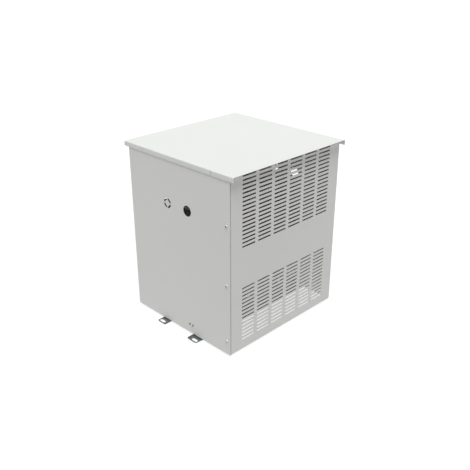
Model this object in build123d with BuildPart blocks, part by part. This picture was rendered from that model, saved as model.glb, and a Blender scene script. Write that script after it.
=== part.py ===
from build123d import *
import os

# Three-phase isolation transformer on two foot rails, in a ventilated sheet-steel enclosure.
# Millimetres. The origin is on the floor under the middle, +Z is up, the front face looks to -Y.

os.makedirs("parts", exist_ok=True)

# Enclosure of two folded sheets
overall_height = 600
coil_side_room = 137.6
coil_end_room = 14.1
floor_gap = 8
sheet = 1.5
inside_bend = 1.5
side_flange = 28
top_flange = 20
bottom_flange = 15
flange_gap = 0.05

# Lid
lid_overhang = 18
skirt_height = 16
skirt_gap = 0.5
slit_width = 2
slit_inset = 73.5

# Ventilation slots in each side, in an upper and a lower field
slot_length = 55
slot_height = 5
slot_columns = 6
slot_edge_margin = 51.25
row_pitch = 13
upper_rows = 18
lower_rows = 15
upper_field_drop = 10.5
lower_field_rise = 36

# Cable openings in the front and back faces
opening_height = 434
cable_hole_radius = 17.5
cable_hole_across = 47
knockout_across = -45.5
knockout_radius = 16.5
knockout_slot = 6
knockout_bridge = 4.5

# Screws that join the two sheets, in a column at one edge, with clinch nuts behind
panel_screw_radius = 2.5
panel_screw_head_radius = 4.5
panel_screw_head_height = 3
panel_screw_length = 10
panel_screw_inset = 14
panel_screw_low = 48
panel_screw_pitch = 194.6
panel_screws_up = 3
hole_clearance = 0.3
thread_clearance = 0.05
clinch_nut_radius = 5
clinch_nut_length = 5
cross_width = 1
cross_length = 4.4
cross_depth = 1.4
head_edge = 1.2

# Lid studs and their nuts
lid_stud_radius = 2.5
lid_stud_length = 14
lid_stud_inset = 50
lid_nut_flats = 8
lid_nut_height = 4

# Laminated core, its long way front to back
stack_depth = 114
limb_width = 80
window_width = 80
window_height = 240
yoke_height = 80
core_lift = 16

# Winding layers round each limb, from the limb outwards
former_gap = 1
former_wall = 2
former_end_gap = 1
layer_gap = 0.3
secondary_build = 15
screen_build = 1
primary_build = 16
screen_opening = 3
winding_end_room = 17
block_depth = 80
block_edge_gap = 0.5

# Foot rails, which clamp the lower yoke too
rail_thickness = 3
rail_inside_bend = 3
rail_width = 41
rail_web_height = 86
rail_web_margin = 5
rail_step_margin = 15
rail_clearance = 1
foot_reach = 25
foot_slot_reach = 15
foot_slot_inset = 16.5
foot_slot_length = 25
foot_slot_width = 11
foot_corner_radius = 7

# Upper yoke clamps
top_clamp_height = 60
top_clamp_width = 19

# Clamp bolts, in insulating tubes through the yokes
clamp_bolt_radius = 5
clamp_tube_wall = 0.8
clamp_tube_gap = 0.2
clamp_hex_flats = 17
clamp_head_height = 6.4
clamp_nut_height = 8
clamp_bolt_tail = 3

# Carriers, welded inside the faces and bolted to the rails
carrier_sheet = 2
carrier_inside_bend = 2
carrier_height = 22
carrier_rise = 3
carrier_face = 30
carrier_leg = 29
carrier_bolt_inset = 18
carrier_bolt_radius = 3
carrier_hex_flats = 10
carrier_head_height = 4
carrier_nut_height = 5
carrier_bolt_tail = 2

# Earth bar inside the front face, held by two screws
earth_bar_length = 36
earth_bar_height = 10
earth_bar_thickness = 6
earth_bar_across = 50
earth_screw_rise = 32.4
earth_screw_spacing = 15
earth_screw_radius = 2
earth_screw_head_radius = 3
earth_screw_head_height = 2

# Terminal rail and the two hat-shaped supports that carry it over the core
support_thickness = 3
support_width = 20
support_inside_bend = 4
support_clearance = 5
support_leg_gap = 1
front_support_along = -150
back_support_along = 20
rail_hat_width = 35
rail_hat_base = 27
rail_hat_depth = 7.5
rail_hat_sheet = 1
rail_hat_bend = 1.3
rail_hat_end = 18
rail_screw_radius = 2.5
rail_screw_head_radius = 4.5
rail_screw_head_height = 3
rail_screw_length = 8
rail_screw_inset = 6

# Terminal blocks, clipped side by side on the rail
terminal_half_length = 24
terminal_height = 46
terminal_shoulder = 24
terminal_top_half = 12
terminal_foot = 3.5
terminal_hook = 2
grip_gap = 0.2
terminal_gap = 0.5
primary_terminal_width = 10
secondary_terminal_width = 12
end_stop_width = 8
end_stop_height = 30
first_block_along = -129
group_space = 12
port_rise = 12.5
port_depth = 14
port_gap = 0.3
driver_hole_radius = 3
driver_hole_across = 17
driver_hole_floor = 8

# Star links, stamped from copper strip, and the insulated leads
link_thickness = 3
link_leg_width = 14
link_bar_height = 20
link_bar_rise = 26
link_inset = 0.3
start_tail_shift = -20
finish_tail_shift = 20
primary_lead_radius = 3
secondary_lead_radius = 4
earth_lead_radius = 2.5
lead_in = 8
lead_knee = 26
primary_riser_inset = 9
secondary_tail_depth = 6.2
secondary_riser_gap = 8
primary_levels = (-14, 0, 14)
secondary_levels = (-16, -8, 6)
neutral_level = 36
neutral_riser_gap = 19
neutral_start_along = -140
jog_low = 49
jog_high = 73
wide_bend = 25
close_bend = 13
earth_lead_across = 36.5
earth_lead_reach = 27.5
earth_lead_bend = 12

# Core and windings, worked out from the sizes above
half_stack = stack_depth / 2
limb_pitch = limb_width + window_width
limb_places = (-limb_pitch, 0, limb_pitch)
core_length = 3 * limb_width + 2 * window_width
window_low = core_lift + yoke_height
window_top = window_low + window_height
core_top = window_top + yoke_height
bottom_yoke_middle = core_lift + yoke_height / 2
top_yoke_middle = window_top + yoke_height / 2
winding_low = window_low + winding_end_room
winding_top = window_top - winding_end_room
winding_height = winding_top - winding_low
former_out = former_gap + former_wall
secondary_in = former_out + layer_gap
secondary_out = secondary_in + secondary_build
screen_in = secondary_out + layer_gap
screen_out = screen_in + screen_build
primary_in = screen_out + layer_gap
primary_out = primary_in + primary_build

# Enclosure round the windings
enclosure_width = 2 * (half_stack + primary_out + coil_side_room)
enclosure_depth = 2 * (core_length / 2 + primary_out + coil_end_room)
half_width = enclosure_width / 2
half_depth = enclosure_depth / 2
outside_bend = inside_bend + sheet
lid_under = overall_height - sheet
face_top = lid_under - skirt_gap
web_inside = half_width - sheet
flange_face = half_depth - sheet - flange_gap
opening_level = floor_gap + opening_height
screw_across = half_width - panel_screw_inset
screw_middle = floor_gap + panel_screw_low + (panel_screws_up - 1) * panel_screw_pitch / 2
stud_across = web_inside - top_flange / 2
stud_along = half_depth - lid_stud_inset
column_pitch = (enclosure_depth - 2 * slot_edge_margin - slot_length) / (slot_columns - 1)
upper_field_middle = face_top - upper_field_drop - (upper_rows - 1) * row_pitch / 2
lower_field_middle = floor_gap + lower_field_rise + (lower_rows - 1) * row_pitch / 2

# Rails, clamps, carriers and terminals
clamp_face = half_stack + rail_thickness
clamp_tube_in = clamp_bolt_radius + clamp_tube_gap
clamp_tube_out = clamp_tube_in + clamp_tube_wall
clamp_points = [(y, z) for z in (bottom_yoke_middle, top_yoke_middle) for y in limb_places]
top_clamp_level = top_yoke_middle + top_clamp_height / 2
half_rail = half_depth + foot_reach
foot_slot_along = half_depth + foot_slot_reach
foot_slot_across = half_stack + rail_width - foot_slot_inset
carrier_low = floor_gap + carrier_rise
carrier_level = carrier_low + carrier_height / 2
carrier_bolt_along = half_depth - sheet - carrier_bolt_inset
carrier_points = [(-carrier_bolt_along, carrier_level), (carrier_bolt_along, carrier_level)]
earth_level = floor_gap + earth_screw_rise
support_level = core_top + support_clearance
rail_hat_low = support_level + support_thickness
rail_hat_top = rail_hat_low + rail_hat_depth
port_level = rail_hat_top + port_rise

# The front face looks along -Y, the right side along +X
front_face = Plane.XZ.offset(half_depth)


def screw_cross():
    """Two crossed bars for the recess in a screw head."""
    Rectangle(cross_length, cross_width)
    Rectangle(cross_width, cross_length)


# Lid: one sheet with its front and back edges folded down, and a slit near each end of the fold
with BuildPart() as lid:
    lid_half_depth = half_depth + skirt_gap + sheet
    skirt_low = overall_height - skirt_height
    with BuildSketch(Plane.YZ):
        with BuildLine():
            FilletPolyline(
                (-lid_half_depth, skirt_low),
                (-lid_half_depth, overall_height),
                (lid_half_depth, overall_height),
                (lid_half_depth, skirt_low),
                radius=outside_bend,
            )
            offset(amount=sheet, side=Side.RIGHT)
        make_face()
    extrude(amount=half_width + lid_overhang, both=True)
    with BuildSketch(Plane.XY.offset(skirt_low)):
        with GridLocations(2 * (half_width - slit_inset), 2 * lid_half_depth, 2, 2):
            Rectangle(slit_width, 3 * sheet)
    extrude(amount=skirt_height - outside_bend, mode=Mode.SUBTRACT)
lid.part.label = "lid"
export_step(lid.part, "parts/lid.step")

# Bare sheet: front face and left side in one piece, with a flange at the side's far edge and
# flanges along its top and bottom, and square notches where the folds meet
with BuildPart() as bare_sheet:
    with BuildSketch(Plane.XY.offset(floor_gap + outside_bend)):
        with BuildLine():
            FilletPolyline(
                (half_width, -half_depth),
                (-half_width, -half_depth),
                (-half_width, flange_face),
                (-half_width + side_flange, flange_face),
                radius=outside_bend,
            )
            offset(amount=sheet, side=Side.RIGHT)
        make_face()
    extrude(amount=face_top - floor_gap - 2 * outside_bend)
    with BuildSketch(front_face):
        with Locations((half_width, floor_gap)):
            Rectangle(enclosure_width - outside_bend, face_top - floor_gap, align=(Align.MAX, Align.MIN))
    extrude(amount=-sheet)
    with BuildSketch(Plane.XZ.offset(half_depth - outside_bend)):
        with BuildLine():
            FilletPolyline(
                (-web_inside + top_flange, lid_under),
                (-half_width, lid_under),
                (-half_width, floor_gap),
                (-web_inside + bottom_flange, floor_gap),
                radius=outside_bend,
            )
            offset(amount=sheet, side=Side.LEFT)
        make_face()
    extrude(amount=-(half_depth + flange_face - 2 * outside_bend))
    with BuildSketch(Plane.XY.offset(lid_under)):
        with Locations((-stud_across, -stud_along), (-stud_across, stud_along)):
            Circle(lid_stud_radius + hole_clearance)
    extrude(amount=-sheet, mode=Mode.SUBTRACT)
    with BuildSketch(front_face):
        with Locations((screw_across, screw_middle)):
            with GridLocations(1, panel_screw_pitch, 1, panel_screws_up):
                Circle(panel_screw_radius + hole_clearance)
    extrude(amount=-sheet, mode=Mode.SUBTRACT)
    with BuildSketch(Plane.XZ.offset(-flange_face)):
        with Locations((-screw_across, screw_middle)):
            with GridLocations(1, panel_screw_pitch, 1, panel_screws_up):
                Circle(panel_screw_radius + hole_clearance)
    extrude(amount=sheet, mode=Mode.SUBTRACT)

# Material that the ventilation slots take out of the left side, in an upper and a lower field
with BuildPart() as side_slots:
    with BuildSketch(Plane.YZ.offset(-half_width)):
        with Locations((0, upper_field_middle)):
            with GridLocations(column_pitch, row_pitch, slot_columns, upper_rows):
                Rectangle(slot_length, slot_height)
        with Locations((0, lower_field_middle)):
            with GridLocations(column_pitch, row_pitch, slot_columns, lower_rows):
                Rectangle(slot_length, slot_height)
    extrude(amount=sheet)

# Material that the cable hole and the four arc slots of the knockout take out of a face
with BuildPart() as cable_openings:
    with BuildSketch(front_face):
        with Locations((cable_hole_across, opening_level)):
            Circle(cable_hole_radius)
        with Locations((knockout_across, opening_level)):
            Circle(knockout_radius)
            Circle(knockout_radius - knockout_slot, mode=Mode.SUBTRACT)
            Rectangle(3 * knockout_radius, knockout_bridge, mode=Mode.SUBTRACT)
            Rectangle(knockout_bridge, 3 * knockout_radius, mode=Mode.SUBTRACT)
    extrude(amount=-sheet)

# Front and left side in one sheet, with holes for the two earth screws too
with BuildPart() as front_left_wrap:
    add(bare_sheet.part)
    add(cable_openings.part, mode=Mode.SUBTRACT)
    with BuildSketch(front_face):
        with Locations((earth_bar_across, earth_level)):
            with GridLocations(earth_screw_spacing, 1, 2, 1):
                Circle(earth_screw_radius + hole_clearance)
    extrude(amount=-sheet, mode=Mode.SUBTRACT)
    add(side_slots.part, mode=Mode.SUBTRACT)
front_left_wrap.part.label = "front_left_wrap"
export_step(front_left_wrap.part, "parts/front_left_wrap.step")

# Back and right side: the same sheet turned half round, its cable openings in line with the front's
with BuildPart() as back_right_wrap:
    add(bare_sheet.part, rotation=(0, 0, 180))
    mirror(cable_openings.part, about=Plane.XZ, mode=Mode.SUBTRACT)
    add(side_slots.part, rotation=(0, 0, 180), mode=Mode.SUBTRACT)
back_right_wrap.part.label = "back_right_wrap"
export_step(back_right_wrap.part, "parts/back_right_wrap.step")

# Pan-head screws: three near the front face's right edge
with BuildPart() as front_screws:
    with BuildSketch(front_face):
        with Locations((screw_across, screw_middle)):
            with GridLocations(1, panel_screw_pitch, 1, panel_screws_up):
                Circle(panel_screw_head_radius)
    extrude(amount=panel_screw_head_height)
    fillet(edges().filter_by(GeomType.CIRCLE).group_by(Axis.Y)[0], head_edge)
    with BuildSketch(front_face):
        with Locations((screw_across, screw_middle)):
            with GridLocations(1, panel_screw_pitch, 1, panel_screws_up):
                Circle(panel_screw_radius)
    extrude(amount=-panel_screw_length)
    with BuildSketch(front_face.offset(panel_screw_head_height)):
        with Locations((screw_across, screw_middle)):
            with GridLocations(1, panel_screw_pitch, 1, panel_screws_up):
                screw_cross()
    extrude(amount=-cross_depth, mode=Mode.SUBTRACT)

# The same three again at the corner opposite
with BuildPart() as panel_screws:
    add(front_screws.part)
    add(front_screws.part, rotation=(0, 0, 180))
panel_screws.part.label = "panel_screws"
export_step(panel_screws.part, "parts/panel_screws.step")

# Clinch nuts pressed behind the side flanges
with BuildPart() as front_nuts:
    with BuildSketch(Plane.XZ.offset(flange_face - sheet)):
        with Locations((screw_across, screw_middle)):
            with GridLocations(1, panel_screw_pitch, 1, panel_screws_up):
                Circle(clinch_nut_radius)
                Circle(panel_screw_radius + thread_clearance, mode=Mode.SUBTRACT)
    extrude(amount=-clinch_nut_length)
with BuildPart() as panel_clinch_nuts:
    add(front_nuts.part)
    add(front_nuts.part, rotation=(0, 0, 180))
panel_clinch_nuts.part.label = "panel_clinch_nuts"
export_step(panel_clinch_nuts.part, "parts/panel_clinch_nuts.step")

# Studs welded under the lid
with BuildPart() as lid_studs:
    with BuildSketch(Plane.XY.offset(lid_under)):
        with GridLocations(2 * stud_across, 2 * stud_along, 2, 2):
            Circle(lid_stud_radius)
    extrude(amount=-lid_stud_length)
lid_studs.part.label = "lid_studs"
export_step(lid_studs.part, "parts/lid_studs.step")

# Nuts on the studs, under the sheets' top flanges
with BuildPart() as lid_nuts:
    with BuildSketch(Plane.XY.offset(lid_under - sheet)):
        with GridLocations(2 * stud_across, 2 * stud_along, 2, 2):
            RegularPolygon(lid_nut_flats / 2, 6, major_radius=False)
            Circle(lid_stud_radius + thread_clearance, mode=Mode.SUBTRACT)
    extrude(amount=-lid_nut_height)
lid_nuts.part.label = "lid_nuts"
export_step(lid_nuts.part, "parts/lid_nuts.step")

# Lower yoke: a stack of laminations on edge, drilled for the clamp bolts
with BuildPart() as core_bottom_yoke:
    with BuildSketch(Plane.XY.offset(core_lift)):
        Rectangle(stack_depth, core_length)
    extrude(amount=yoke_height)
    with BuildSketch(Plane.YZ.offset(-half_stack)):
        with Locations(*[(y, bottom_yoke_middle) for y in limb_places]):
            Circle(clamp_tube_out + hole_clearance)
    extrude(amount=stack_depth, mode=Mode.SUBTRACT)
core_bottom_yoke.part.label = "core_bottom_yoke"
export_step(core_bottom_yoke.part, "parts/core_bottom_yoke.step")

# Upper yoke, the same stack on top of the limbs
with BuildPart() as core_top_yoke:
    with BuildSketch(Plane.XY.offset(window_top)):
        Rectangle(stack_depth, core_length)
    extrude(amount=yoke_height)
    with BuildSketch(Plane.YZ.offset(-half_stack)):
        with Locations(*[(y, top_yoke_middle) for y in limb_places]):
            Circle(clamp_tube_out + hole_clearance)
    extrude(amount=stack_depth, mode=Mode.SUBTRACT)
core_top_yoke.part.label = "core_top_yoke"
export_step(core_top_yoke.part, "parts/core_top_yoke.step")


def limb_ring(inside, outside):
    """Section between two rounded offsets from a limb's section."""
    RectangleRounded(stack_depth + 2 * outside, limb_width + 2 * outside, outside)
    RectangleRounded(stack_depth + 2 * inside, limb_width + 2 * inside, inside, mode=Mode.SUBTRACT)


# One limb and its winding layers for each phase
for phase, limb_y in enumerate(limb_places, start=1):
    # Limb: a stack of laminations between the yokes
    with BuildPart() as core_limb:
        with BuildSketch(Plane((0, limb_y, window_low))):
            Rectangle(stack_depth, limb_width)
        extrude(amount=window_height)
    core_limb.part.label = f"core_limb_{phase}"
    export_step(core_limb.part, f"parts/core_limb_{phase}.step")

    # Former: a rectangular pressboard tube over the limb
    with BuildPart() as coil_former:
        with BuildSketch(Plane((0, limb_y, window_low + former_end_gap))):
            limb_ring(former_gap, former_out)
        extrude(amount=window_height - 2 * former_end_gap)
    coil_former.part.label = f"coil_former_{phase}"
    export_step(coil_former.part, f"parts/coil_former_{phase}.step")

    # Secondary winding, on the former
    with BuildPart() as secondary_winding:
        with BuildSketch(Plane((0, limb_y, winding_low))):
            limb_ring(secondary_in, secondary_out)
        extrude(amount=winding_height)
    secondary_winding.part.label = f"secondary_winding_{phase}"
    export_step(secondary_winding.part, f"parts/secondary_winding_{phase}.step")

    # Earthed screen: one open turn of foil between the windings
    with BuildPart() as earth_screen:
        with BuildSketch(Plane((0, limb_y, winding_low))):
            limb_ring(screen_in, screen_out)
            with Locations((-half_stack - screen_out, 0)):
                Rectangle(4 * screen_build, screen_opening, mode=Mode.SUBTRACT)
        extrude(amount=winding_height)
    earth_screen.part.label = f"earth_screen_{phase}"
    export_step(earth_screen.part, f"parts/earth_screen_{phase}.step")

    # Primary winding, outside the screen
    with BuildPart() as primary_winding:
        with BuildSketch(Plane((0, limb_y, winding_low))):
            limb_ring(primary_in, primary_out)
        extrude(amount=winding_height)
    primary_winding.part.label = f"primary_winding_{phase}"
    export_step(primary_winding.part, f"parts/primary_winding_{phase}.step")


def block_grid():
    """Pressboard blocks in the core's windows, one against each limb's former."""
    block_width = primary_out - secondary_in - 2 * block_edge_gap
    block_place = (limb_width + secondary_in + primary_out) / 2
    for limb_y, next_y in zip(limb_places, limb_places[1:]):
        with Locations((0, limb_y + block_place), (0, next_y - block_place)):
            Rectangle(block_depth, block_width)


# Packing blocks that hold the windings off the lower yoke
with BuildPart() as coil_blocks_bottom:
    with BuildSketch(Plane.XY.offset(window_low)):
        block_grid()
    extrude(amount=winding_low - window_low)
coil_blocks_bottom.part.label = "coil_blocks_bottom"
export_step(coil_blocks_bottom.part, "parts/coil_blocks_bottom.step")

# Packing blocks between the windings and the upper yoke
with BuildPart() as coil_blocks_top:
    with BuildSketch(Plane.XY.offset(winding_top)):
        block_grid()
    extrude(amount=window_top - winding_top)
coil_blocks_top.part.label = "coil_blocks_top"
export_step(coil_blocks_top.part, "parts/coil_blocks_top.step")

# Right foot rail: an angle whose web clamps the lower yoke and whose foot is slotted at both ends
with BuildPart() as right_foot_rail:
    with BuildSketch(Plane.XZ):
        with BuildLine():
            FilletPolyline(
                (half_stack, rail_web_height),
                (half_stack, 0),
                (half_stack + rail_width, 0),
                radius=rail_inside_bend + rail_thickness,
            )
            offset(amount=rail_thickness, side=Side.LEFT)
        make_face()
    extrude(amount=half_rail, both=True)
    step_level = carrier_low + carrier_height + rail_clearance
    step_reach = carrier_bolt_along + carrier_hex_flats
    web_reach = core_length / 2 + rail_web_margin
    with BuildSketch(Plane.YZ.offset(half_stack)):
        with BuildLine():
            Polyline(
                (step_reach, floor_gap - rail_clearance),
                (half_rail, floor_gap - rail_clearance),
                (half_rail, rail_web_height),
                (web_reach, rail_web_height),
                (step_reach - rail_step_margin, step_level),
                (step_reach, step_level),
                close=True,
            )
        make_face()
        mirror(about=Plane.YZ)
    extrude(amount=rail_thickness, mode=Mode.SUBTRACT)
    with BuildSketch(Plane.YZ.offset(half_stack)):
        with Locations(*[(y, bottom_yoke_middle) for y in limb_places]):
            Circle(clamp_bolt_radius + hole_clearance)
        with Locations(*carrier_points):
            Circle(carrier_bolt_radius + hole_clearance)
    extrude(amount=rail_thickness, mode=Mode.SUBTRACT)
    with BuildSketch(Plane.XY):
        with Locations((foot_slot_across, -foot_slot_along), (foot_slot_across, foot_slot_along)):
            SlotOverall(foot_slot_length, foot_slot_width)
    extrude(amount=rail_thickness, mode=Mode.SUBTRACT)
    fillet(edges().filter_by(Axis.Z).group_by(Axis.X)[-1], foot_corner_radius)
right_foot_rail.part.label = "right_foot_rail"
export_step(right_foot_rail.part, "parts/right_foot_rail.step")

# Left foot rail, the mirror image
with BuildPart() as left_foot_rail:
    mirror(right_foot_rail.part, about=Plane.YZ)
left_foot_rail.part.label = "left_foot_rail"
export_step(left_foot_rail.part, "parts/left_foot_rail.step")

# Right upper clamp: an angle along the upper yoke, its flange outwards at the top
with BuildPart() as right_top_clamp:
    with BuildSketch(Plane.XZ):
        with BuildLine():
            FilletPolyline(
                (half_stack, top_clamp_level - top_clamp_height),
                (half_stack, top_clamp_level),
                (half_stack + top_clamp_width, top_clamp_level),
                radius=rail_inside_bend + rail_thickness,
            )
            offset(amount=rail_thickness, side=Side.RIGHT)
        make_face()
    extrude(amount=core_length / 2 + rail_web_margin, both=True)
    with BuildSketch(Plane.YZ.offset(half_stack)):
        with Locations(*[(y, top_yoke_middle) for y in limb_places]):
            Circle(clamp_bolt_radius + hole_clearance)
    extrude(amount=rail_thickness, mode=Mode.SUBTRACT)
    with BuildSketch(Plane.XY.offset(top_clamp_level)):
        foot_screw_across = half_stack + top_clamp_width - rail_screw_inset
        with Locations((foot_screw_across, front_support_along), (foot_screw_across, back_support_along)):
            Circle(rail_screw_radius + thread_clearance)
    extrude(amount=-rail_thickness, mode=Mode.SUBTRACT)
right_top_clamp.part.label = "right_top_clamp"
export_step(right_top_clamp.part, "parts/right_top_clamp.step")

# Left upper clamp, the mirror image
with BuildPart() as left_top_clamp:
    mirror(right_top_clamp.part, about=Plane.YZ)
left_top_clamp.part.label = "left_top_clamp"
export_step(left_top_clamp.part, "parts/left_top_clamp.step")

# Hexagon bolts through clamps and yokes, heads on the left
with BuildPart() as clamp_bolts:
    with BuildSketch(Plane.YZ.offset(-clamp_face)):
        with Locations(*clamp_points):
            RegularPolygon(clamp_hex_flats / 2, 6, major_radius=False)
    extrude(amount=-clamp_head_height)
    with BuildSketch(Plane.YZ.offset(-clamp_face)):
        with Locations(*clamp_points):
            Circle(clamp_bolt_radius)
    extrude(amount=2 * clamp_face + clamp_nut_height + clamp_bolt_tail)
clamp_bolts.part.label = "clamp_bolts"
export_step(clamp_bolts.part, "parts/clamp_bolts.step")

# Nuts on the clamp bolts
with BuildPart() as clamp_nuts:
    with BuildSketch(Plane.YZ.offset(clamp_face)):
        with Locations(*clamp_points):
            RegularPolygon(clamp_hex_flats / 2, 6, major_radius=False)
            Circle(clamp_bolt_radius + thread_clearance, mode=Mode.SUBTRACT)
    extrude(amount=clamp_nut_height)
clamp_nuts.part.label = "clamp_nuts"
export_step(clamp_nuts.part, "parts/clamp_nuts.step")

# Insulating tubes that keep the bolts off the laminations
with BuildPart() as clamp_bolt_tubes:
    with BuildSketch(Plane.YZ.offset(-half_stack)):
        with Locations(*clamp_points):
            Circle(clamp_tube_out)
            Circle(clamp_tube_in, mode=Mode.SUBTRACT)
    extrude(amount=stack_depth)
clamp_bolt_tubes.part.label = "clamp_bolt_tubes"
export_step(clamp_bolt_tubes.part, "parts/clamp_bolt_tubes.step")

# Front right carrier: a folded bracket, one leg on the front face and one on the rail's web
with BuildPart() as front_right_carrier:
    with BuildSketch(Plane.XY.offset(carrier_low)):
        with BuildLine():
            FilletPolyline(
                (clamp_face + carrier_face, -half_depth + sheet),
                (clamp_face, -half_depth + sheet),
                (clamp_face, -half_depth + sheet + carrier_leg),
                radius=carrier_inside_bend + carrier_sheet,
            )
            offset(amount=carrier_sheet, side=Side.RIGHT)
        make_face()
    extrude(amount=carrier_height)
    with BuildSketch(Plane.YZ.offset(clamp_face)):
        with Locations((-carrier_bolt_along, carrier_level)):
            Circle(carrier_bolt_radius + hole_clearance)
    extrude(amount=carrier_sheet, mode=Mode.SUBTRACT)
front_right_carrier.part.label = "front_right_carrier"
export_step(front_right_carrier.part, "parts/front_right_carrier.step")

# The other three carriers
with BuildPart() as front_left_carrier:
    mirror(front_right_carrier.part, about=Plane.YZ)
front_left_carrier.part.label = "front_left_carrier"
export_step(front_left_carrier.part, "parts/front_left_carrier.step")
with BuildPart() as back_right_carrier:
    mirror(front_right_carrier.part, about=Plane.XZ)
back_right_carrier.part.label = "back_right_carrier"
export_step(back_right_carrier.part, "parts/back_right_carrier.step")
with BuildPart() as back_left_carrier:
    mirror(front_left_carrier.part, about=Plane.XZ)
back_left_carrier.part.label = "back_left_carrier"
export_step(back_left_carrier.part, "parts/back_left_carrier.step")

# Carrier bolts on the right, heads outwards
with BuildPart() as right_carrier_bolts:
    with BuildSketch(Plane.YZ.offset(clamp_face + carrier_sheet)):
        with Locations(*carrier_points):
            RegularPolygon(carrier_hex_flats / 2, 6, major_radius=False)
    extrude(amount=carrier_head_height)
    with BuildSketch(Plane.YZ.offset(clamp_face + carrier_sheet)):
        with Locations(*carrier_points):
            Circle(carrier_bolt_radius)
    extrude(amount=-(carrier_sheet + rail_thickness + carrier_nut_height + carrier_bolt_tail))
with BuildPart() as carrier_bolts:
    add(right_carrier_bolts.part)
    mirror(right_carrier_bolts.part, about=Plane.YZ)
carrier_bolts.part.label = "carrier_bolts"
export_step(carrier_bolts.part, "parts/carrier_bolts.step")

# Their nuts, on the core side of the rails
with BuildPart() as right_carrier_nuts:
    with BuildSketch(Plane.YZ.offset(half_stack)):
        with Locations(*carrier_points):
            RegularPolygon(carrier_hex_flats / 2, 6, major_radius=False)
            Circle(carrier_bolt_radius + thread_clearance, mode=Mode.SUBTRACT)
    extrude(amount=-carrier_nut_height)
with BuildPart() as carrier_nuts:
    add(right_carrier_nuts.part)
    mirror(right_carrier_nuts.part, about=Plane.YZ)
carrier_nuts.part.label = "carrier_nuts"
export_step(carrier_nuts.part, "parts/carrier_nuts.step")

# Earth bar, tapped for its two screws
with BuildPart() as earth_bar:
    with BuildSketch(Plane.XZ.offset(half_depth - sheet)):
        with Locations((earth_bar_across, earth_level)):
            Rectangle(earth_bar_length, earth_bar_height)
            with GridLocations(earth_screw_spacing, 1, 2, 1):
                Circle(earth_screw_radius + thread_clearance, mode=Mode.SUBTRACT)
    extrude(amount=-earth_bar_thickness)
earth_bar.part.label = "earth_bar"
export_step(earth_bar.part, "parts/earth_bar.step")

# Earth screws, from outside through the front face into the bar
with BuildPart() as earth_bar_screws:
    with BuildSketch(front_face):
        with Locations((earth_bar_across, earth_level)):
            with GridLocations(earth_screw_spacing, 1, 2, 1):
                Circle(earth_screw_head_radius)
    extrude(amount=earth_screw_head_height)
    fillet(edges().filter_by(GeomType.CIRCLE).group_by(Axis.Y)[0], head_edge)
    with BuildSketch(front_face):
        with Locations((earth_bar_across, earth_level)):
            with GridLocations(earth_screw_spacing, 1, 2, 1):
                Circle(earth_screw_radius)
    extrude(amount=-(sheet + earth_bar_thickness))
earth_bar_screws.part.label = "earth_bar_screws"
export_step(earth_bar_screws.part, "parts/earth_bar_screws.step")

# Front support: a hat-shaped strip over the core, its feet on the upper clamps
with BuildPart() as front_rail_support:
    foot_end = half_stack + top_clamp_width
    leg_place = half_stack + support_leg_gap
    with BuildSketch(Plane.XZ.offset(-front_support_along)):
        with BuildLine():
            FilletPolyline(
                (foot_end, top_clamp_level),
                (leg_place, top_clamp_level),
                (leg_place, support_level),
                (-leg_place, support_level),
                (-leg_place, top_clamp_level),
                (-foot_end, top_clamp_level),
                radius=support_inside_bend,
            )
            offset(amount=support_thickness, side=Side.RIGHT)
        make_face()
    extrude(amount=support_width / 2, both=True)
    with BuildSketch(Plane.XY.offset(top_clamp_level)):
        with GridLocations(2 * (foot_end - rail_screw_inset), 1, 2, 1):
            with Locations((0, front_support_along)):
                Circle(rail_screw_radius + hole_clearance)
        with Locations((0, front_support_along)):
            Circle(rail_screw_radius + thread_clearance)
    extrude(amount=rail_hat_low - top_clamp_level, mode=Mode.SUBTRACT)
front_rail_support.part.label = "front_rail_support"
export_step(front_rail_support.part, "parts/front_rail_support.step")

# Back support, the same strip further back
with BuildPart() as back_rail_support:
    with Locations((0, back_support_along - front_support_along, 0)):
        add(front_rail_support.part)
back_rail_support.part.label = "back_rail_support"
export_step(back_rail_support.part, "parts/back_rail_support.step")

# Terminal rail: a top-hat strip along the supports
with BuildPart() as terminal_rail:
    rail_start = front_support_along - rail_hat_end
    rail_end = back_support_along + rail_hat_end
    with BuildSketch(Plane.XZ.offset(-rail_start)):
        with BuildLine():
            FilletPolyline(
                (-rail_hat_width / 2, rail_hat_top - rail_hat_sheet),
                (-rail_hat_base / 2, rail_hat_top - rail_hat_sheet),
                (-rail_hat_base / 2, rail_hat_low),
                (rail_hat_base / 2, rail_hat_low),
                (rail_hat_base / 2, rail_hat_top - rail_hat_sheet),
                (rail_hat_width / 2, rail_hat_top - rail_hat_sheet),
                radius=rail_hat_bend,
            )
            offset(amount=rail_hat_sheet, side=Side.LEFT)
        make_face()
    extrude(amount=-(rail_end - rail_start))
    with BuildSketch(Plane.XY.offset(rail_hat_low)):
        with Locations((0, front_support_along), (0, back_support_along)):
            Circle(rail_screw_radius + hole_clearance)
    extrude(amount=rail_hat_sheet, mode=Mode.SUBTRACT)
terminal_rail.part.label = "terminal_rail"
export_step(terminal_rail.part, "parts/terminal_rail.step")

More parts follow.
